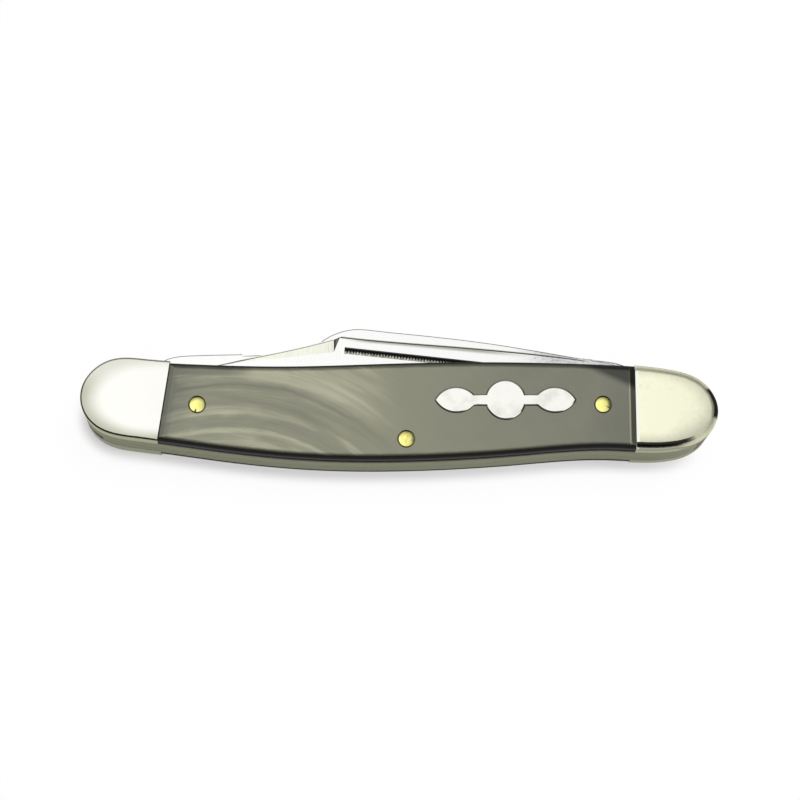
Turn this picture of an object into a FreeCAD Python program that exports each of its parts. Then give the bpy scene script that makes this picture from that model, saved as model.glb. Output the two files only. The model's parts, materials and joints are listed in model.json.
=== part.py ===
import FreeCAD, Part
import math
import os

# Serpentine three-blade pocket knife with slip joints, closed, lying on its back face. Millimetres.
# +X runs to the end where two blades pivot, +Y to the side where the blades come out, and +Z from the
# back face to the front face. The origin is on the back face, at the middle of the handle.

# Handle: the size of its outline, and its layers from the outside to the middle
handle_length = 98.4
handle_height = 15.9
scale_thickness = 3.0
liner_thickness = 0.6
well_width = 2.4
centre_liner_thickness = 0.6

# Covers: bolsters at both ends and a scale between them, set in a little from the bolsters' outline
left_bolster_length = 12.6
right_bolster_length = 12.9
left_joint_lean = 2.35
left_bolster_round = 0.4
right_bolster_round = 1.3
scale_round = 1.2
scale_inset = 0.2
scale_bevel_width = 0.8
scale_bevel_depth = 0.25

# Pins: pivots at both ends, one pin through the middle of the springs, and a pair in each scale
pivot_inset = 7.2
pivot_pin_diameter = 2.6
pivot_clearance = 0.03
brass_pin_diameter = 2.38
pin_dome = 0.22
pin_proud = 0.1
pin_mouth = 0.2
centre_pin_x = 0.85
centre_pin_rise = 3.2
left_scale_pin_inset = 5.35
right_scale_pin_inset = 5.05
scale_pin_y = 0.9

# Springs: how tall they are at the ends, at the waists and over the centre pin
spring_end_height = 3.0
spring_waist_height = 3.1
spring_pin_wall = 1.0
spring_flat_length = 10.0
spring_waist_span = 41.0
spring_eye_reach = 4.4
contact_gap = 0.02

# Tangs: square ends with rounded corners, which the springs bear on, and a shoulder that stops an open blade
tang_butt = 4.7
tang_corner = 1.3
shoulder_reach = 4.2
kick_end = 8.4
choil_length = 2.6
ricasso_length = 12.8
spey_ricasso_length = 17.4
side_clearance = 0.05
passing_gap = 0.1
edge_thickness = 0.2

# Blades: how far each stands above its pivot when closed, and the gap that its tip keeps
clip_rise = 12.3
clip_tip_gap = 10.0
clip_thickness = 2.0
clip_grind = 5.4
sheepsfoot_rise = 14.15
sheepsfoot_tip_gap = 8.6
sheepsfoot_grind = 5.0
spey_rise = 8.4
spey_tip_gap = 19.2
spey_grind = 4.4

# Nail grips: a long straight pull on the clip blade, and crescents on the other two
pull_width = 1.05
pull_length = 24.0
pull_depth = 0.45
pull_inset = 0.7
pull_drop = 2.33
pull_end_drop = 0.53
nick_length = 7.0
nick_height = 1.4
nick_depth = 0.4
nick_drop = 2.5
swedge_length = 13.0
swedge_height = 2.6
swedge_depth = 0.35
swedge_ramp = 0.95
swedge_fall = 1.35

# Shield: a disc on a bar with a leaf at each end, let into the front scale, with a stud under each leaf
shield_length = 21.8
shield_disc_diameter = 6.2
shield_bar_height = 1.7
shield_leaf_length = 6.6
shield_leaf_height = 4.0
shield_thickness = 1.1
shield_proud = 0.4
shield_edge_round = 0.3
shield_joint_gap = 9.2
shield_y = 1.6
stud_diameter = 1.2

# Every cut runs past the faces that it goes through by this much
overrun = 1.0

# Shares of half the handle's length and of its height, clockwise from the left end
handle_outline_shares = [
    (-1.0, 0.113),
    (-0.978, 0.346),
    (-0.909, 0.503),
    (-0.793, 0.510),
    (-0.630, 0.478),
    (-0.386, 0.459),
    (0.0, 0.491),
    (0.305, 0.503),
    (0.630, 0.478),
    (0.843, 0.421),
    (0.955, 0.289),
    (1.0, 0.019),
    (0.963, -0.239),
    (0.864, -0.371),
    (0.671, -0.371),
    (0.378, -0.421),
    (0.0, -0.484),
    (-0.250, -0.475),
    (-0.569, -0.381),
    (-0.823, -0.270),
    (-0.947, -0.164),
]

# Shares of a blade's length from its pivot and of its rise above it: the back from the shoulder to the
# point, the clip's drop to the point, and the edge from the point to its straight stretch
clip_back_shares = [(0.10, 0.602), (0.212, 0.724), (0.439, 0.864), (0.693, 1.0)]
clip_drop_shares = [(0.815, 0.808), (0.90, 0.70), (1.0, 0.565)]
clip_edge_shares = [(0.945, 0.425), (0.84, 0.265), (0.68, 0.135)]
clip_edge_start_share = -0.143
sheepsfoot_back_shares = [
    (0.105, 0.565),
    (0.19, 0.645),
    (0.40, 0.787),
    (0.67, 0.933),
    (0.79, 0.985),
    (0.84, 1.0),
    (0.89, 0.958),
    (0.932, 0.866),
    (0.98, 0.625),
    (1.0, 0.32),
]
sheepsfoot_edge_start_share = -0.130
spey_back_shares = [
    (0.088, 0.81),
    (0.115, 0.905),
    (0.183, 0.962),
    (0.257, 0.976),
    (0.325, 0.985),
    (0.39, 1.0),
    (0.47, 0.99),
    (0.86, 0.887),
]
spey_drop_shares = [(0.94, 0.762), (1.0, 0.511)]
spey_edge_shares = [(0.98, 0.26), (0.92, 0.0), (0.81, -0.169)]
spey_edge_start_share = -0.207

half_length = handle_length / 2
pivot_pin_radius = pivot_pin_diameter / 2
brass_pin_radius = brass_pin_diameter / 2
back_liner_z = scale_thickness
rear_well_z = back_liner_z + liner_thickness
centre_liner_z = rear_well_z + well_width
front_well_z = centre_liner_z + centre_liner_thickness
front_liner_z = front_well_z + well_width
front_scale_z = front_liner_z + liner_thickness
front_face_z = front_scale_z + scale_thickness
left_joint_x = left_bolster_length - half_length
right_joint_x = half_length - right_bolster_length
shield_x = right_joint_x - shield_joint_gap - shield_length / 2


def point(x, y, z=0):
    return FreeCAD.Vector(x, y, z)


def line(start, end):
    return Part.LineSegment(start, end).toShape()


def curve(points, closed=False):
    spline = Part.BSplineCurve()
    spline.interpolate(Points=points, PeriodicFlag=closed)
    return spline.toShape()


def arc_about(centre, radius, from_angle, to_angle):
    """A quarter round corner, by its centre and the angles in degrees at its two ends."""
    angles = [from_angle, (from_angle + to_angle) / 2, to_angle]
    ends = [(math.cos(math.radians(a)), math.sin(math.radians(a))) for a in angles]
    return Part.Arc(*[centre + point(radius * c, radius * s) for c, s in ends]).toShape()


def polygon(points):
    return Part.Face(Part.makePolygon(points + points[:1]))


def prism(face, z_low, z_high):
    """A flat face at height zero, as a solid between two heights."""
    solid = face.extrude(point(0, 0, z_high - z_low))
    solid.translate(point(0, 0, z_low))
    return solid


def bore(radius, x, y, z_low, z_high):
    return Part.makeCylinder(radius, z_high - z_low, point(x, y, z_low))


def outline_face(inset=0):
    """The handle's outline, drawn in towards its middle line by an inset."""
    height = handle_height - 2 * inset
    points = [point(half_length * x, height * y) for x, y in handle_outline_shares]
    return Part.Face(Part.Wire(curve(points, closed=True)))


handle_face = outline_face()


def edges_at(x):
    """The handle's lower and upper edge at one place along its length."""
    chord = handle_face.common(line(point(x, -handle_height), point(x, handle_height)))
    return chord.BoundBox.YMin, chord.BoundBox.YMax


right_pivot_x = half_length - pivot_inset
left_pivot_x = pivot_inset - half_length
right_pivot_y = sum(edges_at(right_pivot_x)) / 2
left_pivot_y = sum(edges_at(left_pivot_x)) / 2
pivot_span = right_pivot_x - left_pivot_x
right_contact_y = edges_at(right_pivot_x)[0] + spring_end_height
left_contact_y = edges_at(left_pivot_x)[0] + spring_end_height
centre_pin_y = edges_at(centre_pin_x)[0] + centre_pin_rise
centre_pin_hole = (brass_pin_radius, centre_pin_x, centre_pin_y)
pivot_holes = [
    (pivot_pin_radius, left_pivot_x, left_pivot_y),
    (pivot_pin_radius, right_pivot_x, right_pivot_y),
]
scale_pin_places = {
    "left": left_joint_x + left_scale_pin_inset,
    "right": right_joint_x - right_scale_pin_inset,
}
clip_length = pivot_span - clip_tip_gap
sheepsfoot_length = pivot_span - spey_ricasso_length - sheepsfoot_tip_gap
spey_length = pivot_span - ricasso_length - spey_tip_gap
rear_blade_thickness = (well_width - 2 * side_clearance - passing_gap) / 2


def span(x_low_at_middle, low_lean, x_high_at_middle, high_lean):
    """The stretch of the handle between two joints, each leaning by so much over the handle's height."""
    return polygon([
        point(x_low_at_middle - low_lean, -handle_height),
        point(x_high_at_middle - high_lean, -handle_height),
        point(x_high_at_middle + high_lean, handle_height),
        point(x_low_at_middle + low_lean, handle_height),
    ])


def cover_blank(inset, edge_round, front):
    """A cover over the whole outline, rounded along its outer edge."""
    z_low, z_high = (front_scale_z, front_face_z) if front else (0, back_liner_z)
    outer_z = z_high if front else z_low
    blank = prism(outline_face(inset), z_low, z_high)
    outer = min(blank.Faces, key=lambda face: abs(face.CenterOfMass.z - outer_z))
    return blank.makeFillet(edge_round, outer.Edges)


def bolster(front, left):
    z_low, z_high = (front_scale_z, front_face_z) if front else (0, back_liner_z)
    if left:
        stretch = span(-handle_length, 0, left_joint_x, left_joint_lean)
        hole = pivot_holes[0]
        edge_round = left_bolster_round
    else:
        stretch = span(right_joint_x, 0, handle_length, 0)
        hole = pivot_holes[1]
        edge_round = right_bolster_round
    body = cover_blank(0, edge_round, front).common(prism(stretch, z_low - overrun, z_high + overrun))
    return drilled(body, [hole], z_low, z_high)


def end_bevel(joint_x, lean, inward, front):
    """A long wedge that bevels a scale's outer edge where it meets a bolster."""
    face_z, up = (front_face_z, 1) if front else (0, -1)
    width = inward * scale_bevel_width
    depth = up * scale_bevel_depth
    corner = point(joint_x - lean, -handle_height, face_z)
    steps = [(-1, -2), (2, 1), (-1, 1)]
    corners = [corner + point(across * width, 0, rise * depth) for across, rise in steps]
    return polygon(corners).extrude(point(2 * lean, 2 * handle_height))


def scale(front):
    z_low, z_high = (front_scale_z, front_face_z) if front else (0, back_liner_z)
    outer_z, inward = (z_high, -1) if front else (z_low, 1)
    stretch = prism(span(left_joint_x, left_joint_lean, right_joint_x, 0), z_low - overrun, z_high + overrun)
    body = cover_blank(scale_inset, scale_round, front).common(stretch)
    body = body.cut(end_bevel(left_joint_x, left_joint_lean, 1, front))
    body = body.cut(end_bevel(right_joint_x, 0, -1, front))
    for radius, x, y in scale_pin_holes() + [centre_pin_hole]:
        place = point(x, y, outer_z)
        body = body.cut(Part.makeCone(radius + pin_mouth, radius, pin_mouth, place, point(0, 0, inward)))
    holes = scale_pin_holes() + [centre_pin_hole]
    if front:
        pocket_z = front_face_z + shield_proud - shield_thickness
        body = body.cut(shield_blank(pocket_z, front_face_z + overrun))
        holes += stud_holes()
    return drilled(body, holes, z_low, z_high)


def liner(z_low, z_high, holes):
    """A liner over the whole outline, with the holes of the pins that go through it or are riveted to it."""
    return drilled(prism(handle_face, z_low, z_high), pivot_holes + [centre_pin_hole] + holes, z_low, z_high)


def drilled(body, holes, z_low, z_high):
    for radius, x, y in holes:
        body = body.cut(bore(radius, x, y, z_low - overrun, z_high + overrun))
    return body


def scale_pin_holes():
    return [(brass_pin_radius, x, scale_pin_y) for x in scale_pin_places.values()]


def stud_holes():
    return [(stud_diameter / 2, x, shield_y) for x in stud_places()]


def stud_places():
    spacing = shield_length - shield_leaf_length
    return [shield_x - spacing / 2, shield_x + spacing / 2]


def spring(z_low, anchored_left):
    """A back spring: flush with the handle's back, flat under each tang, and thick at the centre pin.
    The anchored one ends in an eye on the left pivot pin, and the other bears on a tang at both ends."""
    right_end = right_pivot_x + shoulder_reach
    left_end = left_pivot_x - shoulder_reach
    hump_y = centre_pin_y + brass_pin_radius + spring_pin_wall
    hump_reach = brass_pin_radius + spring_pin_wall
    waists = [centre_pin_x - spring_waist_span / 2, centre_pin_x + spring_waist_span / 2]
    left_flat_end = point(left_pivot_x + spring_flat_length, left_contact_y)
    right_flat_end = point(right_pivot_x - spring_flat_length, right_contact_y)
    inner = curve([
        left_flat_end,
        point(waists[0], edges_at(waists[0])[0] + spring_waist_height),
        point(centre_pin_x - hump_reach, hump_y),
        point(centre_pin_x + hump_reach, hump_y),
        point(waists[1], edges_at(waists[1])[0] + spring_waist_height),
        right_flat_end,
    ])
    left_corners = [point(left_end, -handle_height), point(left_end, left_contact_y), left_flat_end]
    holes = [centre_pin_hole]
    if anchored_left:
        eye_x = left_pivot_x + spring_eye_reach
        holes = pivot_holes[:1] + holes
        left_corners = [
            point(-handle_length, -handle_height),
            point(-handle_length, handle_height),
            point(eye_x, handle_height),
            point(eye_x, left_contact_y),
            left_flat_end,
        ]
    right_corners = [right_flat_end, point(right_end, right_contact_y), point(right_end, -handle_height)]
    corners = left_corners + right_corners
    sides = [line(a, b) for a, b in zip(left_corners, left_corners[1:])]
    sides += [inner]
    sides += [line(a, b) for a, b in zip(right_corners, right_corners[1:])]
    sides += [line(corners[-1], corners[0])]
    z_high = z_low + well_width
    region = prism(Part.Face(Part.Wire(sides)), z_low - overrun, z_high + overrun)
    return drilled(prism(handle_face, z_low, z_high).common(region), holes, z_low, z_high)


class Blade:
    """A blade in its own plane, where u runs from the pivot to the point and v to the back."""

    def __init__(self, pivot_x, pivot_y, contact_y, side, length, rise, well_z, ricasso):
        self.pivot_x = pivot_x
        self.pivot_y = pivot_y
        self.side = side
        self.length = length
        self.rise = rise
        self.ricasso = ricasso
        self.tang_low = well_z + side_clearance
        self.tang_high = well_z + well_width - side_clearance
        self.flat = pivot_y - contact_y - contact_gap
        self.back = pivot_y - contact_y + spring_end_height

    def at(self, u, v, z=0):
        return point(self.pivot_x + self.side * u, self.pivot_y + v, z)

    def at_shares(self, shares):
        return [self.at(self.length * u, self.rise * v) for u, v in shares]

    def corner(self, u, v, from_angle):
        """A rounded tang corner, a quarter turn from its angle in the blade's own plane."""
        centre = self.at(u, v)
        if self.side > 0:
            return arc_about(centre, tang_corner, from_angle, from_angle - 90)
        return arc_about(centre, tang_corner, 180 - from_angle, 180 - from_angle + 90)

    def tang_sides(self):
        """The tang's outline from the choil round the butt to the top of the shoulder."""
        inner_u = tang_corner - tang_butt
        inner_v = self.flat - tang_corner
        return [
            line(self.at(kick_end, -self.flat), self.at(inner_u, -self.flat)),
            self.corner(inner_u, -inner_v, 270),
            line(self.at(-tang_butt, -inner_v), self.at(-tang_butt, inner_v)),
            self.corner(inner_u, inner_v, 180),
            line(self.at(inner_u, self.flat), self.at(shoulder_reach, self.flat)),
            line(self.at(shoulder_reach, self.flat), self.at(shoulder_reach, self.back)),
        ]

    def outline(self, back_shares, drop_shares, edge_shares, edge_start_share):
        """The whole outline, and the edges of it that are sharpened."""
        back = [self.at(shoulder_reach, self.back)] + self.at_shares(back_shares)
        choil = self.at(kick_end + choil_length, self.rise * edge_start_share)
        sides = self.tang_sides() + [curve(back)]
        tip = back[-1]
        if drop_shares:
            drop = [tip] + self.at_shares(drop_shares)
            sides.append(curve(drop))
            tip = drop[-1]
        straight_end = tip
        sharp = []
        if edge_shares:
            belly = [tip] + self.at_shares(edge_shares)
            sharp.append(curve(belly))
            straight_end = belly[-1]
        sharp.append(line(straight_end, choil))
        kick = line(choil, self.at(kick_end, -self.flat))
        return Part.Face(Part.Wire(Part.sortEdges(sides + sharp + [kick])[0])), sharp, tip, choil

    def ground(self, sharp, tip, choil, z_low, z_high, grind, up):
        """All that lies on the back's side of a bevel that rises from the edge to one face of the blade."""
        middle = (z_low + z_high) / 2
        half = (z_high - z_low) / 2
        slope = grind / (half - edge_thickness / 2)
        depth = z_high - z_low
        beyond = tip + point(self.side * grind, grind)
        top = self.pivot_y + self.rise + self.length
        corners = [tip, beyond, point(beyond.x, top), point(choil.x, top), choil]
        frame = [line(a, b) for a, b in zip(corners, corners[1:])]
        region = Part.Face(Part.Wire(Part.sortEdges(sharp + frame)[0]))
        start_z = middle - up * depth
        drop = slope * (depth + edge_thickness / 2)
        region.translate(point(0, -drop, start_z))
        return region.extrude(point(0, 2 * slope * depth, 2 * up * depth))

    def solid(self, outline, z_low, z_high, grind):
        face, sharp, tip, choil = outline
        reach = handle_length
        corners = [(-reach, -reach), (self.ricasso, -reach), (self.ricasso, reach), (-reach, reach)]
        tang_end = polygon([self.at(u, v) for u, v in corners])
        tang_box = prism(tang_end, self.tang_low - overrun, self.tang_high + overrun)
        tang = prism(face, self.tang_low, self.tang_high).common(tang_box)
        body = prism(face, z_low, z_high).cut(tang_box)
        for up in (1, -1):
            body = body.common(self.ground(sharp, tip, choil, z_low, z_high, grind, up))
        blade = tang.fuse(body).removeSplitter()
        pivot_hole = (pivot_pin_radius + pivot_clearance, self.pivot_x, self.pivot_y)
        return drilled(blade, [pivot_hole], self.tang_low, self.tang_high)

    def nick(self, u, v, lean, face_z, outward):
        """A crescent nail nick: a shallow cone laid across the blade, deepest on the side of the back."""
        radius = (nick_length ** 2 / 4 + nick_depth ** 2) / (2 * nick_depth)
        centre_z = face_z + outward * (radius - nick_depth)
        axis = point(self.side * lean, -1, 0)
        return Part.makeCone(radius, radius - nick_depth, nick_height, self.at(u, v, centre_z), axis)


def clip_blade():
    blade = Blade(right_pivot_x, right_pivot_y, right_contact_y, -1, clip_length, clip_rise,
                  front_well_z, ricasso_length)
    z_middle = front_well_z + well_width / 2
    z_low = z_middle - clip_thickness / 2
    z_high = z_middle + clip_thickness / 2
    outline = blade.outline(clip_back_shares, clip_drop_shares, clip_edge_shares, clip_edge_start_share)
    solid = blade.solid(outline, z_low, z_high, clip_grind)
    peak_u = clip_length * clip_back_shares[-1][0]
    peak_v = clip_rise * clip_back_shares[-1][1]
    before_u = clip_length * clip_back_shares[-2][0]
    before_v = clip_rise * clip_back_shares[-2][1]
    slope = (peak_v - before_v) / (peak_u - before_u)
    for face_z, up in ((z_high, 1), (z_low, -1)):
        solid = solid.cut(swedge(blade, peak_u, peak_v, face_z, up))
    return solid.cut(long_pull(blade, peak_u - pull_inset, peak_v - pull_drop, slope, z_high))


def swedge(blade, peak_u, peak_v, face_z, up):
    """The flat ground on the clip's corner. It starts from a short ramp at the corner, is deepest there, and
    runs out towards the point."""
    rim = blade.at(peak_u, peak_v, face_z)
    deep = blade.at(peak_u + swedge_ramp, peak_v, face_z - up * swedge_depth)
    low = blade.at(peak_u + swedge_ramp, peak_v - swedge_height, face_z)
    end = blade.at(peak_u + swedge_length, peak_v - swedge_height - swedge_fall, face_z)
    outside = rim + (rim - low) * 2 + (rim - deep) * 6
    return tetrahedron(low, deep + (deep - low), end + (end - low), outside)


def tetrahedron(a, b, c, d):
    faces = [polygon([a, b, c]), polygon([a, b, d]), polygon([b, c, d]), polygon([a, c, d])]
    solid = Part.Solid(Part.Shell(faces))
    if solid.Volume < 0:
        solid.reverse()
    return solid


def long_pull(blade, start_u, start_v, slope, face_z):
    """A straight groove along the back of the clip blade, square at its start and round at its end."""
    end_u = start_u - pull_length
    end_v = start_v - slope * pull_length - pull_end_drop
    start = blade.at(start_u, start_v)
    end = blade.at(end_u, end_v)
    along = (end - start).normalize()
    across = point(-along.y, along.x) * (pull_width / 2)
    ends = along * (pull_width / 2)
    sides = [
        line(start + across, end + across),
        Part.Arc(end + across, end + ends, end - across).toShape(),
        line(end - across, start - across),
        line(start - across, start + across),
    ]
    return prism(Part.Face(Part.Wire(sides)), face_z - pull_depth, face_z + overrun)


def sheepsfoot_blade():
    blade = Blade(right_pivot_x, right_pivot_y, right_contact_y, -1, sheepsfoot_length, sheepsfoot_rise,
                  rear_well_z, ricasso_length)
    z_high = blade.tang_high
    outline = blade.outline(sheepsfoot_back_shares, [], [], sheepsfoot_edge_start_share)
    solid = blade.solid(outline, z_high - rear_blade_thickness, z_high, sheepsfoot_grind)
    high, low = sheepsfoot_back_shares[4], sheepsfoot_back_shares[2]
    lean = sheepsfoot_rise * (high[1] - low[1]) / (sheepsfoot_length * (high[0] - low[0]))
    nick_u = sheepsfoot_length * sheepsfoot_back_shares[3][0]
    nick_v = sheepsfoot_rise * sheepsfoot_back_shares[3][1] - nick_drop
    return solid.cut(blade.nick(nick_u, nick_v, lean, z_high, 1))


def spey_blade():
    blade = Blade(left_pivot_x, left_pivot_y, left_contact_y, 1, spey_length, spey_rise,
                  rear_well_z, spey_ricasso_length)
    z_low = blade.tang_low
    outline = blade.outline(spey_back_shares, spey_drop_shares, spey_edge_shares, spey_edge_start_share)
    solid = blade.solid(outline, z_low, z_low + rear_blade_thickness, spey_grind)
    nick_u = spey_length * (spey_back_shares[-1][0] + spey_back_shares[-2][0]) / 2
    nick_v = spey_rise * spey_back_shares[-1][1] - nick_drop
    return solid.cut(blade.nick(nick_u, nick_v, 0, z_low, -1))


def domed_pin(radius, x, y, z_low, z_high, low_dome, high_dome):
    """A riveted pin, turned about its own axis, with a dome of given height on each end, or a flat end."""
    sides = [
        pin_end(radius, z_low, low_dome),
        pin_end(radius, z_high, -high_dome),
        line(point(radius, 0, z_low + low_dome), point(radius, 0, z_high - high_dome)),
        line(point(0, 0, z_low), point(0, 0, z_high)),
    ]
    face = Part.Face(Part.Wire(Part.sortEdges(sides)[0]))
    pin = face.revolve(point(0, 0), point(0, 0, 1), 360)
    pin.translate(point(x, y))
    return pin


def pin_end(radius, z, dome):
    """Half a pin's end from its middle to its rim, which is higher than the middle by the dome."""
    middle = point(0, 0, z)
    edge = point(radius, 0, z + dome)
    if dome == 0:
        return line(middle, edge)
    ball = (radius ** 2 + dome ** 2) / (2 * dome)
    half_angle = math.asin(radius / abs(ball)) / 2
    between = point(abs(ball) * math.sin(half_angle), 0, z + ball * (1 - math.cos(half_angle)))
    return Part.Arc(middle, between, edge).toShape()


def pivot_pin(x, y):
    return domed_pin(pivot_pin_radius, x, y, 0, front_face_z, 0, 0)


def centre_pin():
    z_high = front_face_z + pin_proud
    return domed_pin(brass_pin_radius, centre_pin_x, centre_pin_y, 0, z_high, pin_dome, pin_dome)


def scale_pin(x, front):
    if front:
        z_high = front_face_z + pin_proud
        return domed_pin(brass_pin_radius, x, scale_pin_y, front_liner_z, z_high, 0, pin_dome)
    return domed_pin(brass_pin_radius, x, scale_pin_y, 0, rear_well_z, pin_dome, 0)


def shield_blank(z_low, z_high):
    """The shield's outline between two heights."""
    middle = point(shield_x, shield_y)
    half_bar = point(shield_length / 2 - shield_leaf_length / 2, 0)
    half_height = point(0, shield_bar_height / 2)
    bar = [middle - half_bar - half_height, middle + half_bar - half_height,
           middle + half_bar + half_height, middle - half_bar + half_height]
    blank = bore(shield_disc_diameter / 2, shield_x, shield_y, z_low, z_high)
    blank = blank.fuse(prism(polygon(bar), z_low, z_high))
    half_leaf = point(shield_leaf_length / 2, 0)
    leaf_rise = point(0, shield_leaf_height / 2)
    for x in stud_places():
        centre = point(x, shield_y)
        upper = Part.Arc(centre - half_leaf, centre + leaf_rise, centre + half_leaf).toShape()
        lower = Part.Arc(centre + half_leaf, centre - leaf_rise, centre - half_leaf).toShape()
        blank = blank.fuse(prism(Part.Face(Part.Wire([upper, lower])), z_low, z_high))
    return blank.removeSplitter()


def shield():
    top_z = front_face_z + shield_proud
    plate = shield_blank(top_z - shield_thickness, top_z)
    rim = [e for e in plate.Edges if e.BoundBox.ZMin > top_z - shield_thickness / 2]
    return plate.makeFillet(shield_edge_round, rim)


def shield_pins():
    low = front_liner_z
    high = front_face_z + shield_proud - shield_thickness
    return Part.Compound([bore(stud_diameter / 2, x, shield_y, low, high) for x in stud_places()])


def pieces():
    made = {
        "front_liner": liner(front_liner_z, front_scale_z, scale_pin_holes() + stud_holes()),
        "back_liner": liner(back_liner_z, rear_well_z, scale_pin_holes()),
        "centre_liner": liner(centre_liner_z, front_well_z, []),
        "front_spring": spring(front_well_z, True),
        "rear_spring": spring(rear_well_z, False),
        "clip_blade": clip_blade(),
        "sheepsfoot_blade": sheepsfoot_blade(),
        "spey_blade": spey_blade(),
        "left_pivot_pin": pivot_pin(left_pivot_x, left_pivot_y),
        "right_pivot_pin": pivot_pin(right_pivot_x, right_pivot_y),
        "centre_pin": centre_pin(),
        "shield": shield(),
        "shield_pins": shield_pins(),
    }
    for face, front in (("front", True), ("back", False)):
        made[face + "_scale"] = scale(front)
        for end, left in (("left", True), ("right", False)):
            made[face + "_" + end + "_bolster"] = bolster(front, left)
        for end, x in scale_pin_places.items():
            made[face + "_" + end + "_scale_pin"] = scale_pin(x, front)
    return made


os.makedirs("parts", exist_ok=True)
for name, shape in pieces().items():
    shape.exportStep("parts/" + name + ".step")
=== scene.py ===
import json
import math
from itertools import combinations

import bmesh
import bpy
from bpy.props import FloatProperty, FloatVectorProperty, IntProperty, PointerProperty
from mathutils import Euler, Matrix, Vector
from mathutils.bvhtree import BVHTree


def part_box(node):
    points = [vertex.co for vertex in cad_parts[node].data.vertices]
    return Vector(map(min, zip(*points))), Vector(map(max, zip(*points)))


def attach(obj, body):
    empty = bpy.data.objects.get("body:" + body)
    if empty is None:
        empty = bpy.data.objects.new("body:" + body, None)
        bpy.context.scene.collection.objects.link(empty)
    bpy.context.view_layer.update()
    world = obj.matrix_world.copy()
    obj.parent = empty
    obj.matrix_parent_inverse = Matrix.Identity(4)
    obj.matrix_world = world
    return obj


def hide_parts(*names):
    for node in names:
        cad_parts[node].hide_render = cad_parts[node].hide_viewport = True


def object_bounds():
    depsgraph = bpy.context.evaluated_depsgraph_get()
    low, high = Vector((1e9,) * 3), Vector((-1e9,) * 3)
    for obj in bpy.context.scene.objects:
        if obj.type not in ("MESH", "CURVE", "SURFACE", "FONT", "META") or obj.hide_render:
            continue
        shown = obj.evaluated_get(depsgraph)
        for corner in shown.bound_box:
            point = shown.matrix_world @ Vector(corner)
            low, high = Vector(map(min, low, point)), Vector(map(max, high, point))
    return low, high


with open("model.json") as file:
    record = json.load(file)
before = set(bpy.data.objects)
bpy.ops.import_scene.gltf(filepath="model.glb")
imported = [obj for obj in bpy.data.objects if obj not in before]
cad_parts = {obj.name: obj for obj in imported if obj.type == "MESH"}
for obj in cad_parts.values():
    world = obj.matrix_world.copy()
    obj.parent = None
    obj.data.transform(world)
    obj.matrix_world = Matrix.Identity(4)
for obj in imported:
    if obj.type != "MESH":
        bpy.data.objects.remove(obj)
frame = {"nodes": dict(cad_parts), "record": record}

bl_info = {
    "name": "Folding pocket knife",
    "version": (1, 0, 0),
    "blender": (4, 5, 0),
    "location": "3D View > Sidebar > Knife",
    "description": "Dresses the CAD model of a folding pocket knife in its metals and pearl acrylic",
    "category": "Object",
}

MILLIMETRES = 1000.0  # in a metre
CAD_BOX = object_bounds()
BODY_OF_NODE = {
    node: body
    for body, nodes in frame["record"]["behaviour"]["bodies"].items()
    for node in nodes
}
SLOT_OF_NODE = {row["node"]: row["material_slot"] for row in frame["record"]["subparts"]}


def length(name, description, metres):
    """A length that a user can change."""
    return FloatProperty(name=name, description=description, default=metres, precision=5,
                         unit="LENGTH", subtype="DISTANCE")


def place(name, description, metres):
    """A point in the knife's own frame that a user can change."""
    return FloatVectorProperty(name=name, description=description, default=metres, size=3, precision=5,
                               unit="LENGTH", subtype="TRANSLATION")


def colour(name, description, linear):
    """A colour that a user can change, as linear red, green and blue."""
    return FloatVectorProperty(name=name, description=description, default=linear, size=3,
                               min=0.0, max=1.0, subtype="COLOR")


class KnifeSizes(bpy.types.PropertyGroup):
    """Sizes of the small forms that the finishes add to the solids."""

    metal_edge: length("Metal edge", "Rounding of the liners' and springs' corners", 0.0001)
    blade_edge: length("Blade edge", "Rounding along the rear blades' backs", 0.00024)
    clip_edge: length("Clip edge", "Rounding along the clip blade's back", 0.00034)
    plunge_edge: length("Plunge edge", "Rounding where a tang steps down to its blade", 0.0006)
    tang_edge: length("Tang edge", "Rounding along the clip blade's tang, less than its step", 0.00014)
    tang_start: length("Tang start", "From the knife's middle to the start of the tangs at its right end",
                       0.02921)
    cover_edge: length("Cover edge", "Rounding of the bolsters' and scales' corners", 0.00006)
    crown_radius: length("Bolster crown", "Radius of the slight crown of a bolster's face", 0.16)
    bolster_middle: length("Bolster middle", "From the knife's middle to a bolster's middle", 0.0415)
    pull_start: place("Pull start", "Start of the long nail pull, at the blade's face",
                      (-0.008582, 0.010284, 0.0088))
    pull_end: place("Pull end", "End of the long nail pull, at the blade's face",
                    (0.015418, 0.007618, 0.0088))
    pull_width: length("Pull width", "Width of the long nail pull", 0.00105)
    tooth_count: IntProperty(name="Teeth", description="Teeth along the long nail pull", default=52, min=1)
    tooth_reach: length("Tooth reach", "How far a tooth stands into the nail pull", 0.00055)
    tooth_height: length("Tooth height", "Height of a tooth above the pull's bottom", 0.00036)
    tooth_drop: length("Tooth drop", "How far a tooth's top lies below the blade's face", 0.00006)
    swedge_start: place("Swedge start", "Inner corner of the ground flat at the clip",
                        (-0.010232, 0.010014, 0.0088))
    swedge_end: place("Swedge end", "A point on the flat's lower edge, towards the tip",
                      (-0.022282, 0.008664, 0.0088))


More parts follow.
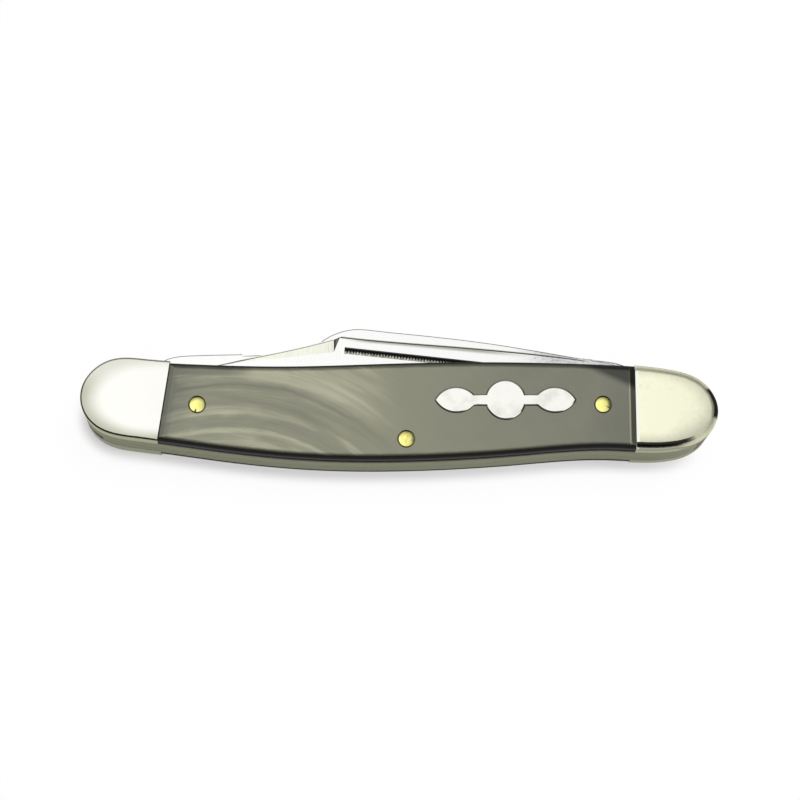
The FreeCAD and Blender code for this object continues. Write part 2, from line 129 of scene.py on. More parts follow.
class KnifeColours(bpy.types.PropertyGroup):
    """Colours of the finishes."""

    nickel: colour("Nickel silver", "Buffed faces of the bolsters and the shield", (0.96, 0.955, 0.90))
    nickel_warm: colour("Warm nickel", "Ground tone of the bolsters", (0.97, 0.97, 0.74))
    # Haze clouds on the bolsters and the shield; on the bolsters it is also painted shade towards their
    # outlines
    nickel_haze_and_shade: colour("Nickel haze", "Hazy patches on the bolsters", (0.48, 0.48, 0.37))
    # Painted shade: a darker copy of the nickel for the bolsters' sides
    nickel_side_shade: colour("Nickel sides", "Sides of the bolsters", (0.34, 0.34, 0.265))
    # Painted dark reflections on the bolsters' rounded rims
    nickel_rim_shade: colour("Nickel rims", "Dark rims of the bolsters", (0.03, 0.03, 0.026))
    pearl_dark: colour("Pearl, dark", "Dark streaks of the scales", (0.150, 0.156, 0.118))
    pearl_middle: colour("Pearl, middle", "Ground of the scales", (0.250, 0.251, 0.180))
    pearl_pale: colour("Pearl, pale", "Pale streaks of the scales", (0.440, 0.434, 0.310))
    # Smoke also shows as a painted dark reflection at the scales' upper right corner
    smoke: colour("Smoke", "The scales where the pearl is seen edge on", (0.012, 0.012, 0.011))
    steel: colour("Blade steel", "Polished faces of the blades", (0.955, 0.955, 0.94))
    steel_line: colour("Grinding lines", "Lines across the blades", (0.74, 0.74, 0.69))
    steel_tarnish: colour("Tarnished steel", "Greyer steel towards the tangs", (0.44, 0.44, 0.46))
    steel_ground: colour("Ground steel", "The swedge of the clip blade", (0.95, 0.95, 0.80))
    # Painted shade on the clip's rounded back and just below it; the teeth's marks also use this grey
    grey_steel_and_back_shade: colour("Clip back", "Rounded back of the clip blade", (0.30, 0.30, 0.235))
    # Painted dark reflection on the ramp beside the clip's flat, and painted shade on the shield's rim
    dark_shade: colour("Dark steel", "Dark ramp at the clip and rim of the shield", (0.10, 0.10, 0.09))
    # Painted shade in the long nail pull
    groove_shade: colour("Groove", "Dark bottom of the nail pull", (0.012, 0.011, 0.010))
    spring: colour("Spring steel", "Edges of the springs", (0.225, 0.228, 0.185))
    liner: colour("Liners", "Edges of the liners", (0.28, 0.28, 0.23))
    brass: colour("Brass", "Heads of the pins", (1.0, 0.97, 0.33))
    brass_worn: colour("Worn brass", "Hammered patches of the pins", (0.80, 0.62, 0.17))
    # Painted shade round the pins' rims, and the dark of the splits in some heads
    brass_crack_and_rim_shade: colour("Dark brass", "Tarnish around and in the pins", (0.12, 0.085, 0.02))


class KnifeStage(bpy.types.PropertyGroup):
    """The floor, the light and the camera."""

    floor_size: length("Floor", "Side of the floor", 3.0)
    floor_drop: length("Floor drop", "How far the floor lies below the knife's back face", 0.00002)
    floor_colour: colour("Floor colour", "The pale floor", (0.95, 0.95, 0.95))
    floor_glow: FloatProperty(name="Floor glow", description="How white the floor shows", default=0.95)
    shadow_depth: FloatProperty(name="Shadow depth", description="How much of the glow the shadow takes",
                                default=0.72)
    shadow_reach: length("Shadow reach", "How far the shadow shows from the knife's outline", 0.0022)
    shadow_turn: FloatProperty(name="Shadow turn", description="Direction in which the shadow falls",
                               default=math.radians(225), subtype="ANGLE")
    shadow_step: length("Shadow step", "Spacing of the floor's points around the knife", 0.0007)
    key_power: FloatProperty(name="Key light", description="Power of the key light", default=3.4,
                             unit="POWER")
    key_size: length("Key size", "Side of the key light", 0.3)
    key_place: place("Key place", "Where the key light stands", (0.16, 0.20, 0.75))
    camera_place: place("Camera place", "Where the camera stands", (-0.012, -0.084, 0.425))
    camera_aim: place("Camera aim", "The point that the camera looks at", (-0.00008, 0.0016, 0.0126))
    camera_lens: FloatProperty(name="Lens", description="Focal length of the camera in millimetres",
                               default=123.2, subtype="DISTANCE_CAMERA")


class Value:
    """An output of a node. Arithmetic on it adds Math nodes to its tree."""

    def __init__(self, tree, socket):
        self.tree = tree
        self.socket = socket

    def math(self, operation, *operands):
        return self.tree.node("ShaderNodeMath", {"operation": operation}, dict(enumerate(operands)))

    def __add__(self, other):
        return self.math("ADD", self, other)

    def __sub__(self, other):
        return self.math("SUBTRACT", self, other)

    def __rsub__(self, other):
        return self.math("SUBTRACT", other, self)

    def __mul__(self, other):
        return self.math("MULTIPLY", self, other)

    def __truediv__(self, other):
        return self.math("DIVIDE", self, other)

    def __abs__(self):
        return self.math("ABSOLUTE", self)

    __radd__ = __add__
    __rmul__ = __mul__

    def root(self):
        return self.math("SQRT", self)

    def most(self, other):
        return self.math("MAXIMUM", self, other)

    def step(self, low, high):
        """A smooth step from 0 at low to 1 at high."""
        return self.tree.node("ShaderNodeMapRange", {"interpolation_type": "SMOOTHSTEP"},
                              {"Value": self, "From Min": low, "From Max": high})


def set_stops(ramp, stops):
    """Sets a ramp's stops, each a place between 0 and 1 and a grey level."""
    while len(ramp.elements) < len(stops):
        ramp.elements.new(1.0)
    for element, (where, grey) in zip(ramp.elements, stops):
        element.position = where
        element.color = (grey, grey, grey, 1.0)


class Tree:
    """A shader tree that is written as calls and expressions."""

    def __init__(self, tree):
        self.tree = tree
        tree.nodes.clear()

    def node(self, kind, settings, inputs, output=0):
        """Adds a node with its settings and inputs, and gives one of its outputs."""
        made = self.tree.nodes.new(kind)
        for name, value in settings.items():
            if name == "stops":
                set_stops(made.color_ramp, value)
            else:
                setattr(made, name, value)
        for key, value in inputs.items():
            if isinstance(value, Value):
                self.tree.links.new(value.socket, made.inputs[key])
            else:
                made.inputs[key].default_value = value
        return Value(self, made.outputs[output])

    def end(self, kind, shader):
        """Links a shader to the tree's output node."""
        self.tree.links.new(shader.socket, self.tree.nodes.new(kind).inputs["Surface"])

    def mix(self, factor, first, second):
        """A colour between two, the first where the factor is 0."""
        return self.node("ShaderNodeMix", {"data_type": "RGBA"}, {0: factor, 6: first, 7: second}, 2)

    def vector(self, x, y, z):
        return self.node("ShaderNodeCombineXYZ", {}, {0: x, 1: y, 2: z})

    def split(self, vector):
        made = self.node("ShaderNodeSeparateXYZ", {}, {0: vector}).socket.node
        return [Value(self, socket) for socket in made.outputs]

    def noise(self, vector, scale, detail=2.0, roughness=0.5, distortion=0.0):
        """Noise between 0 and 1 with features of about one over the scale."""
        return self.node("ShaderNodeTexNoise", {"noise_dimensions": "3D"},
                         {"Vector": vector, "Scale": scale, "Detail": detail,
                          "Roughness": roughness, "Distortion": distortion})


class Finish(Tree):
    """A material with one Principled shader, whose patterns read the piece's own place in millimetres."""

    def __init__(self, name, constants):
        self.material = bpy.data.materials.new(name)
        self.material.use_nodes = True
        super().__init__(self.material.node_tree)
        shader = self.node("ShaderNodeBsdfPrincipled", {}, constants)
        self.shader = shader.socket.node
        self.end("ShaderNodeOutputMaterial", shader)
        metres = self.node("ShaderNodeTexCoord", {}, {}, "Object")
        self.place = self.node("ShaderNodeVectorMath", {"operation": "SCALE"},
                               {0: metres, "Scale": MILLIMETRES})
        self.x, self.y, self.z = self.split(self.place)

    def feed(self, name, value):
        self.tree.links.new(value.socket, self.shader.inputs[name])

    def relief(self, millimetres):
        """A height in millimetres, as a bump of the surface."""
        bump = self.node("ShaderNodeBump", {}, {"Height": millimetres, "Distance": 1 / MILLIMETRES})
        self.feed("Normal", bump)

    def facing(self):
        """The direction that the surface faces, along and across the knife, and how far it faces the
        knife's front or back: 1 on the flat faces, 0 on its sides."""
        x, y, z = self.split(self.node("ShaderNodeNewGeometry", {}, {}, "Normal"))
        return x, y, abs(z)


def opaque(rgb):
    return (rgb[0], rgb[1], rgb[2], 1.0)


def bolster_haze_and_shade(finish, right, clouds):
    """How hazy and shaded a bolster's face is: the painted shade is less around its middle, more towards its
    outline and more on the right, and clouds and specks of haze lie over it, more on the right. The middle
    lies 1 mm lower on the right."""
    middle_x, middle_y = 37.8, 1.8
    reach_x, reach_y = 11.4, 6.5
    across = (abs(finish.x) - middle_x) / reach_x
    rise = (finish.y - middle_y + right) / reach_y
    out = (across * across + rise * rise).root()
    specks = finish.noise(finish.place, 1.4, 3.0, 0.6)
    # Less painted shade at the top of the left bolster
    less_shade_at_top = 0.5 * (1.0 - right) * finish.y.step(2.5, 6.5)
    # Painted shade that grows from the face's middle towards its outline
    haze_and_shade = out.step(0.66 - 0.06 * right, 1.03 + 0.07 * right) * (1.0 - less_shade_at_top)
    return haze_and_shade + (clouds - 0.5) * (0.15 + 0.35 * right) + right * specks.step(0.5, 0.72) * 0.1


def nickel_silver(colours, crown_radius, bolster_middle):
    """Polished nickel silver with slightly crowned, hazy faces, with painted shade towards their outlines and
    a darker painted-shade copy of the nickel on their sides. Of the right bolsters' rims, the lower one and
    the one at the end carry painted dark reflections, and those between and above them are dull and carry
    painted highlights. The left bolsters' rims carry painted dark reflections all round."""
    finish = Finish("polished_nickel_silver", {"Metallic": 1.0, "Specular Tint": (0.72, 0.72, 0.60, 1.0)})
    middle_z, rim_start = 6.3, 4.8
    right = finish.x.step(-5.0, 5.0)
    seam = right * finish.x.step(36.85, 36.6)
    along, over, up = finish.facing()
    flat = (along * along + over * over).root().most(0.001)
    top = (over / flat).step(0.1, 0.7)
    lower = (over / flat).step(-0.86, -0.97)
    lower_right = ((along - over) * math.sqrt(0.5) / flat).step(0.80, 0.92)
    end = ((0.98 * along + 0.19 * over) / flat).step(0.85, 0.91)
    # Painted highlight: the upper and lower-right rims of the right bolster stay light, with less painted
    # shade and haze
    light = right * top.most(lower_right)
    rounded = up.step(0.9995, 0.985)
    clouds = finish.noise(finish.place, 0.16, 4.0, 0.6, 0.5)
    haze_and_shade = bolster_haze_and_shade(finish, right, clouds) - seam - 0.6 * light * rounded
    face = finish.mix(right - seam, opaque(colours.nickel), opaque(colours.nickel_warm))
    # The haze colour carries the haze clouds and specks, and also the painted shade towards the outline
    face = finish.mix(haze_and_shade, face, opaque(colours.nickel_haze_and_shade))
    # Painted shade: the sides take the darker copy of the nickel, and on the light rims of the right bolster
    # the face colour reaches further round
    tone = finish.mix(up.step(0.25 - 0.2 * light, 0.8 - 0.6 * light), opaque(colours.nickel_side_shade), face)
    # Painted dark reflections on the rims: below, at the end and, less strongly, above the right bolsters,
    # and all round the left ones, less at their top; a little painted shade also falls on the lower sides.
    # They are kept to the outer roundings.
    lower_rim_shade = lower * (up.step(0.72, 0.84) * up.step(0.996, 0.986) + 0.15 * up.step(0.84, 0.6))
    upper_rim_shade = top * up.step(0.55, 0.3) * 0.7
    right_rim_shade = lower_rim_shade.most(end * up.step(0.95, 0.86)).most(upper_rim_shade)
    left_rim_shade = up.step(0.06, 0.16) * up.step(0.93, 0.82) * (1.0 - 0.55 * top)
    rim_shade = right * right_rim_shade + (1.0 - right) * left_rim_shade
    rim_shade = rim_shade * abs(finish.z - middle_z).step(rim_start, rim_start + 0.1)
    finish.feed("Base Color", finish.mix(rim_shade, tone, opaque(colours.nickel_rim_shade)))
    scratches = finish.noise(finish.vector(finish.x * 0.35, finish.y * 5.0, finish.z), 1.0, 3.0, 0.6)
    dull = right * top.most(end).most(lower_right) * rounded * 0.4
    finish.feed("Roughness", 0.08 + 0.10 * haze_and_shade.most(0.0) + 0.05 * scratches + dull)
    lengthwise = (abs(finish.x) - bolster_middle * MILLIMETRES) * 0.8
    crown = (lengthwise * lengthwise + finish.y * finish.y) / (-2 * MILLIMETRES * crown_radius)
    finish.relief(crown + 0.0006 * scratches + 0.003 * clouds)
    return finish.material


def shield_nickel(colours):
    """The shield's nickel silver: bright, with a few fine scratches, and painted shade on its rim."""
    finish = Finish("shield_nickel_silver", {"Metallic": 1.0})
    scratches = finish.noise(finish.vector(finish.x * 4.0, finish.y * 0.5, finish.z), 1.0, 3.0, 0.6)
    clouds = finish.noise(finish.place, 0.3, 3.0)
    face = finish.mix(clouds.step(0.45, 0.75) * 0.4, opaque(colours.nickel), opaque(colours.nickel_haze_and_shade))
    # Painted shade: where the shield turns away from the front, its rim takes the dark shade colour
    front = finish.facing()[2].step(0.2, 0.75)
    finish.feed("Base Color", finish.mix(front, opaque(colours.dark_shade), face))
    finish.feed("Roughness", 0.10 + 0.08 * scratches)
    finish.relief(0.0006 * scratches + 0.01 * clouds)
    return finish.material


# The pearl's streaks: each one's distance from the middle of their arcs in millimetres, and how pale it is
STREAKS = (
    (24.0, 0.62), (26.2, 0.74), (28.0, 0.62), (28.8, 0.86), (29.3, 0.52), (30.6, 0.44), (31.3, 0.72),
    (32.2, 0.66), (32.9, 0.42), (33.9, 0.54), (34.8, 0.50), (35.4, 0.44), (35.8, 0.18), (36.3, 0.66),
    (37.2, 0.94), (39.0, 0.92), (42.0, 0.86),
)


def pearl_acrylic(colours):
    """Smoke-grey pearl acrylic. The pearl lies flat in the slab, so it darkens where it is seen edge on.
    Its streaks follow wide arcs over the left half and fade to a soft cloud over the right half."""
    finish = Finish("smoke_pearl_acrylic",
                    {"Coat Roughness": 0.03, "Coat IOR": 1.49, "Specular IOR Level": 0.0})
    arc_x, arc_y = -26.5, -31.7
    joint_x, joint_lean = -36.6, 0.148
    wander = finish.noise(finish.place, 0.09, 2.0, 0.5)
    ripple = finish.noise(finish.place, 0.45, 2.0, 0.5)
    from_x = finish.x - arc_x
    from_y = finish.y - arc_y
    radius = (from_x * from_x + from_y * from_y).root()
    turn = finish.x.math("ARCTAN2", from_y, from_x)
    bent = radius + (wander - 0.5) * 1.2 + (ripple - 0.5) * 0.6
    first, last = STREAKS[0][0], STREAKS[-1][0]
    stops = [((distance - first) / (last - first), pale) for distance, pale in STREAKS]
    where = (bent - first) / (last - first)
    streaks = finish.node("ShaderNodeValToRGB", {"stops": stops}, {0: where}) * 1.0
    broad = finish.noise(finish.vector(radius * 0.5, turn * 2.4, 0.4), 1.0, 4.0, 0.55, 0.6)
    threads = finish.noise(finish.vector(radius * 2.6, turn * 2.2, 2.7), 1.0, 3.0, 0.6, 0.4)
    cloud = finish.noise(finish.place, 0.055, 3.0, 0.5, 0.8)
    flakes = finish.noise(finish.place, 5.0, 2.0, 0.6)
    streaked = finish.x.step(2.0, -11.0)
    clear = 0.49 - finish.x * 0.0126
    shade = streaks * streaked + clear * (1.0 - streaked)
    shade = shade + ((broad - 0.5) * 0.9 + (threads - 0.5) * 0.5) * (0.12 + streaked)
    # Painted dark reflection: a dark wedge at the upper right corner of the scales
    corner = (finish.y + (finish.x - 36.0) * 0.45).step(2.9, 4.4) * finish.x.step(22.0, 31.0)
    grey = radius.step(35.9, 36.6) * finish.x.step(-21.5, -27.0) * (0.35 + 0.45 * finish.y.step(5.3, 6.0))
    from_joint = finish.x - joint_x - joint_lean * finish.y
    grey = grey + from_joint.step(6.0, 0.8) * 0.3 + from_joint.step(1.9, 0.8) * 0.3
    # Painted highlight: a pale line just before the bevel at the scales' right end
    painted_edge_highlight = finish.x.step(35.2, 35.4) * finish.x.step(35.7, 35.5)
    shade = shade + (cloud - 0.5) * 0.4 + (flakes - 0.5) * 0.12 + painted_edge_highlight * 0.7 - grey
    dark = finish.mix(shade.step(-0.1, 0.55), opaque(colours.pearl_dark), opaque(colours.pearl_middle))
    pearl = finish.mix(shade.step(0.45, 1.05), dark, opaque(colours.pearl_pale))
    face = abs(finish.facing()[1]).step(0.75, 0.24)
    # The smoke colour shows on the edges facing up and down, and as the painted dark reflection at the corner
    finish.feed("Base Color", finish.mix(face * (1.0 - 0.85 * corner), opaque(colours.smoke), pearl))
    finish.feed("Metallic", face * 0.8)
    finish.feed("Coat Weight", 0.15 + 0.85 * face)
    finish.feed("Roughness", 0.30 + 0.12 * flakes)
    finish.relief(0.0016 * cloud)
    return finish.material


def blade_steel(name, colours):
    """Polished steel with fine lines ground across the blade, greyer towards the tangs at the right."""
    finish = Finish(name, {"Metallic": 1.0})
    across = finish.vector(finish.x * 9.0, finish.y * 0.35, finish.z * 0.35)
    finish.lines = finish.noise(across, 1.0, 3.0, 0.7)
    patches = finish.noise(finish.place, 0.22, 3.0, 0.6)
    scratches = finish.noise(finish.vector(finish.x * 1.1, finish.y * 4.0, finish.z), 1.0, 4.0, 0.7, 1.5)
    worn = finish.lines.step(0.55, 0.85) * (0.2 + 0.5 * patches) + scratches.step(0.56, 0.7) * 0.25
    clean = finish.mix(worn, opaque(colours.steel), opaque(colours.steel_line))
    tarnish = finish.x.step(17.0, 25.0) * (0.2 + 0.6 * patches + 1.2 * scratches.step(0.5, 0.7))
    finish.face = finish.mix(tarnish, clean, opaque(colours.steel_tarnish))
    finish.feed("Base Color", finish.face)
    finish.feed("Roughness", 0.07 + 0.10 * finish.lines)
    finish.relief(0.0012 * finish.lines)
    return finish


def pull_groove(finish, sizes):
    """1 in the long nail pull, and 0 elsewhere."""
    start = sizes.pull_start * MILLIMETRES
    along = sizes.pull_end - sizes.pull_start
    reach = along.length * MILLIMETRES
    half = sizes.pull_width * MILLIMETRES / 2
    unit = along.normalized()
    from_x = finish.x - start.x
    from_y = finish.y - start.y
    run = from_x * unit.x + from_y * unit.y
    off = abs(from_y * unit.x - from_x * unit.y)
    in_line = off.step(half * 1.1, half * 0.9) * (run + half).step(-0.1, 0.1)
    in_line = in_line * (reach + half - run).step(-0.1, 0.1)
    sunk = finish.z.step(start.z - 0.02, start.z - 0.10) * finish.z.step(start.z - 0.60, start.z - 0.50)
    return in_line * sunk


def clip_steel(colours, sizes):
    """The clip blade's steel, with coarser lines on the ground flat at its clip, a painted dark reflection on
    the ramp beside that flat with a painted highlight along its middle, painted shade on its rounded back and
    on the face just below it, and painted shade in the nail pull. Past counts from the flat's inner corner
    towards the tang."""
    finish = blade_steel("clip_blade_steel", colours)
    back_y, back_slope, back_bend = 12.69, 0.0839, 0.0003
    start = sizes.swedge_start * MILLIMETRES
    run_out = start - sizes.swedge_end * MILLIMETRES
    past = finish.x - start.x
    above = finish.y - start.y - past * (run_out.y / run_out.x)
    swedge = past.step(0.02, -0.02) * above.step(-0.02, 0.02)
    coarse = finish.lines.step(0.42, 0.62) * (0.35 + 0.65 * past.step(-1.5, 0.0))
    ground = finish.mix(coarse, opaque(colours.steel_ground), opaque(colours.steel_line))
    over, up = finish.facing()[1:]
    face = finish.mix(swedge * up.step(0.94, 0.97), finish.face, ground)
    # Painted shade: the clip's rounded back and a strip of the face just below it take the olive grey, less
    # towards the tang
    back = past.step(1.0, 1.2) * over.step(0.08, 0.16) * up.step(0.99, 0.97) * up.step(0.02, 0.12)
    back = back * (1.0 - 0.6 * finish.x.step(23.0, 28.0))
    below_back = back_y - past * (back_slope + back_bend * past) - finish.y
    back = back.most(0.8 * below_back.step(0.95, 0.45) * past.step(1.2, 6.0) * past.step(32.0, 22.0))
    face = finish.mix(back, face, opaque(colours.grey_steel_and_back_shade))
    # Painted dark reflection on the ramp beside the ground flat, with a painted highlight (the gleam) along
    # its middle
    ramp = past.step(-0.1, 0.0) * past.step(1.1, 1.0) * up.step(0.975, 0.96) * up.step(0.85, 0.9)
    gleam = past.step(0.15, 0.4) * past.step(0.8, 0.55) * 0.35
    face = finish.mix(ramp * (1.0 - gleam), face, opaque(colours.dark_shade))
    groove = pull_groove(finish, sizes)
    # Painted shade: the nail pull takes the near-black shade colour
    finish.feed("Base Color", finish.mix(groove, face, opaque(colours.groove_shade)))
    finish.feed("Roughness", 0.07 + 0.10 * finish.lines + 0.35 * groove + 0.1 * swedge)
    return finish


def brushed(name, rgb, roughness):
    """Ground metal edges with fine lines along the knife."""
    finish = Finish(name, {"Metallic": 1.0, "Specular Tint": (0.62, 0.62, 0.50, 1.0)})
    lines = finish.noise(finish.vector(finish.x * 0.3, finish.y * 3.0, finish.z * 9.0), 1.0, 3.0, 0.65)
    stains = finish.noise(finish.place, 0.25, 3.0, 0.6)
    dull = (0.72 * rgb[0], 0.72 * rgb[1], 0.70 * rgb[2], 1.0)
    worn = lines.step(0.35, 0.75) * 0.7 + stains.step(0.5, 0.8) * 0.3
    finish.feed("Base Color", finish.mix(worn, opaque(rgb), dull))
    finish.feed("Roughness", roughness + 0.15 * lines)
    finish.relief(0.0015 * lines)
    return finish.material


def pin_brass(colours, x, y, split):
    """Peened brass around one pin's middle, with painted shade at its rim. Some heads are split: the split is
    given by its angle in degrees, its start from the middle in millimetres, and how fast it widens."""
    finish = Finish("peened_brass", {"Metallic": 1.0})
    from_x = finish.x - x * MILLIMETRES
    from_y = finish.y - y * MILLIMETRES
    radius = (from_x * from_x + from_y * from_y).root()
    marks = finish.noise(finish.place, 1.6, 3.0, 0.6)
    # Painted shade: a dark ring round the head's rim
    rim_shade = radius.step(1.08, 1.20)
    dark = rim_shade * 0.9
    wear = 0.9
    if split:
        angle, start, widening = split
        turn = math.radians(angle)
        out = from_x * math.cos(turn) + from_y * math.sin(turn)
        off = abs(from_y * math.cos(turn) - from_x * math.sin(turn) + (marks - 0.5) * 0.15)
        dark = dark.most(((out - start) * widening - off).step(-0.03, 0.05))
        wear = 0.2
    tone = finish.mix(marks.step(0.4, 0.75) * wear, opaque(colours.brass), opaque(colours.brass_worn))
    finish.feed("Base Color", finish.mix(dark, tone, opaque(colours.brass_crack_and_rim_shade)))
    finish.feed("Roughness", 0.16 + 0.10 * marks + 0.2 * rim_shade)
    finish.relief(0.008 * marks)
    return finish.material


def tooth_steel(colours):
    """Bright cut steel of the teeth in the nail pull."""
    finish = Finish("cut_tooth_steel", {"Metallic": 1.0})
    marks = finish.noise(finish.place, 3.0, 2.0, 0.6)
    tone = finish.mix(marks.step(0.3, 0.6), opaque(colours.steel_line), opaque(colours.grey_steel_and_back_shade))
    finish.feed("Base Color", tone)
    finish.feed("Roughness", 0.3 + 0.2 * marks)
    return finish.material


# How far an edge turns where it counts as a corner, and where its two faces count as one flat face
LEAST_CORNER = math.radians(38)
MOST_CORNER = math.radians(130)
FLAT_ANGLE = math.radians(0.05)
# Parts of a face's normal: the most of z on a wall, the least of y on a back, the least of x on a plunge
UPRIGHT_LEAN = 0.3
BACK_FACING = 0.3
PLUNGE_FACING = 0.9999
# The share of a wall's height that a rounding may take
WALL_SHARE = 0.25
# Lengths in metres
SAME_POINT = 0.000001
PULL_MARGIN = 0.001
MOUTH_MARGIN = 0.0003
# The middle and the reach of each pin's mouth
PIN_MOUTHS = [
    ((low + high).xy / 2, (high.x - low.x) / 2 + MOUTH_MARGIN)
    for low, high in map(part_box, (node for node in SLOT_OF_NODE if node.endswith("_pin")))
]


def outside_corner(edge):
    """1 for a plain outside corner that isn't the mouth of a pin, and 0 for other edges."""
    if len(edge.link_faces) != 2 or not LEAST_CORNER < edge.calc_face_angle_signed() < MOST_CORNER:
        return 0.0
    ends = [vertex.co.xy for vertex in edge.verts]
    for middle, reach in PIN_MOUTHS:
        if all((end - middle).length < reach for end in ends):
            return 0.0
    return 1.0


def lean(low, high):
    """How far apart two points are, seen from above."""
    return (low.co - high.co).xy.length


def steep(low, high):
    """Whether one point lies more above the other than beside it."""
    return lean(low, high) < abs(low.co.z - high.co.z)


def upright(face):
    """Whether a face stands upright, or nearly so, as the sides of the plates do."""
    return abs(face.normal.z) < UPRIGHT_LEAN


def wall_height(vertex, wall):
    """How far a wall goes up or down from one of its points."""
    heights = [abs(other.co.z - vertex.co.z) for other in wall.verts if steep(vertex, other)]
    return max(heights, default=0.0)


def blade_corner(back, plunge, tang, least):
    """A function that gives the share of the widest rounding that an edge of a blade takes: one along the
    back, one where the tang steps down to the blade, one round the tang, and none in the nail pull. Where the
    wall grows thin the rounding does too, down to the least one."""
    sizes = bpy.context.scene.knife_sizes
    along = (sizes.pull_end - sizes.pull_start).xy

    def width(edge):
        walls = list(filter(upright, edge.link_faces))
        if len(walls) != 1 or not outside_corner(edge):
            return 0.0
        room = min(wall_height(vertex, walls[0]) for vertex in edge.verts) * WALL_SHARE
        if room < least:
            return 0.0
        if max(abs(vertex.co.x) for vertex in edge.verts) > sizes.tang_start:
            return min(tang, room)
        if walls[0].normal.y < BACK_FACING:
            return plunge * (abs(walls[0].normal.x) > PLUNGE_FACING)
        for vertex in edge.verts:
            off = abs((vertex.co - sizes.pull_start).xy.cross(along)) / along.length
            beside = sizes.pull_start.x - PULL_MARGIN < vertex.co.x < sizes.pull_end.x + PULL_MARGIN
            if off > sizes.pull_width or not beside:
                return min(back, room)
        return 0.0

    return lambda edge: width(edge) / max(back, plunge)


def straighten_walls(shape):
    """Takes the loose points out of the upright walls, and divides each wall again from its lower edge
    straight up to its upper one, so that its corners can be rounded."""
    loose = [vertex for vertex in shape.verts if all(map(upright, vertex.link_faces))]
    bmesh.ops.dissolve_verts(shape, verts=loose)
    shape.normal_update()
    for wall in list(filter(upright, shape.faces)):
        pairs = [pair for pair in combinations(wall.verts, 2) if steep(*pair)]
        for low, high in sorted(pairs, key=lambda pair: lean(*pair)):
            shared = [face for face in low.link_faces if high in face.verts]
            if len(shared) == 1 and len(shared[0].verts) > 4:
                bmesh.utils.face_split(shared[0], low, high)
    shape.normal_update()


def join_flat_faces(shape):
    """Makes the flat faces whole, and pairs the triangles of the walls. Where a flat face has a hole, the
    shortest ties from the hole to the outline stay."""
    for edge in sorted(shape.edges, key=lambda edge: edge.calc_length(), reverse=True):
        if not edge.is_valid or len(edge.link_faces) != 2 or edge.calc_face_angle() > FLAT_ANGLE:
            continue
        if not any(map(upright, edge.link_faces)) or all(len(face.verts) == 3 for face in edge.link_faces):
            bmesh.utils.face_join(edge.link_faces, True)
    shape.normal_update()


def merged_copy(node, corner_share, plate):
    """A copy of a CAD node's mesh with its loose triangles joined, its flat faces made whole, and each edge
    marked with its share of the rounding."""
    mesh = frame["nodes"][node].data.copy()
    shape = bmesh.new()
    shape.from_mesh(mesh)
    bmesh.ops.remove_doubles(shape, verts=shape.verts, dist=SAME_POINT)
    if plate:
        straighten_walls(shape)
    join_flat_faces(shape)
    weight = shape.edges.layers.float.new("bevel_weight_edge")
    for edge in shape.edges:
        edge[weight] = corner_share(edge)
    shape.to_mesh(mesh)
    shape.free()
    for name in ("custom_normal", "sharp_edge", "sharp_face"):
        if name in mesh.attributes:
            mesh.attributes.remove(mesh.attributes[name])
    mesh.materials.clear()
    mesh.shade_smooth()
    return mesh


def dress(node, material, edge=0.0, corner_share=outside_corner, crisp=40, plate=False):
    """Puts a finished copy of a CAD node in its place, with its corners rounded a little. Edges that turn by
    more than the crisp angle in degrees stay sharp in the shading. A plate has upright walls."""
    mesh = merged_copy(node, corner_share, plate)
    mesh.name = node + "_finished"
    mesh.set_sharp_from_angle(angle=math.radians(crisp))
    mesh.materials.append(material)
    piece = bpy.data.objects.new(node + "_finished", mesh)
    bpy.context.scene.collection.objects.link(piece)
    if edge:
        bevel = piece.modifiers.new("corners", "BEVEL")
        bevel.width = edge
        bevel.segments = 2
        bevel.limit_method = "WEIGHT"
        bevel.use_clamp_overlap = False
        bevel.loop_slide = False
    normals = piece.modifiers.new("normals", "WEIGHTED_NORMAL")
    normals.weight = 90
    normals.keep_sharp = True
    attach(piece, BODY_OF_NODE[node])
    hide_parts(node)


class KNIFE_OT_bolsters(bpy.types.Operator):
    """Finishes the bolsters and the pivot pins that are ground flush with them"""

    bl_idname = "knife.bolsters"
    bl_label = "Bolsters"

    def execute(self, context):
        sizes = context.scene.knife_sizes
        metal = nickel_silver(context.scene.knife_colours, sizes.crown_radius, sizes.bolster_middle)
        for face in ("front", "back"):
            for end in ("left", "right"):
                dress(face + "_" + end + "_bolster", metal, sizes.cover_edge)
        for end in ("left", "right"):
            dress(end + "_pivot_pin", metal)
        return {"FINISHED"}


class KNIFE_OT_scales(bpy.types.Operator):
    """Finishes the two pearl scales"""

    bl_idname = "knife.scales"
    bl_label = "Scales"

    def execute(self, context):
        acrylic = pearl_acrylic(context.scene.knife_colours)
        for face in ("front", "back"):
            dress(face + "_scale", acrylic, context.scene.knife_sizes.cover_edge)
        return {"FINISHED"}


class KNIFE_OT_liners_and_springs(bpy.types.Operator):
    """Finishes the three liners and the two back springs"""

    bl_idname = "knife.liners_and_springs"
    bl_label = "Liners and springs"

    def execute(self, context):
        colours = context.scene.knife_colours
        edge = context.scene.knife_sizes.metal_edge
        liner = brushed("satin_liner", colours.liner, roughness=0.28)
        spring = brushed("ground_spring_steel", colours.spring, roughness=0.24)
        for node in ("front_liner", "centre_liner", "back_liner"):
            dress(node, liner, edge, plate=True)
        for node in ("front_spring", "rear_spring"):
            dress(node, spring, edge, plate=True)
        return {"FINISHED"}


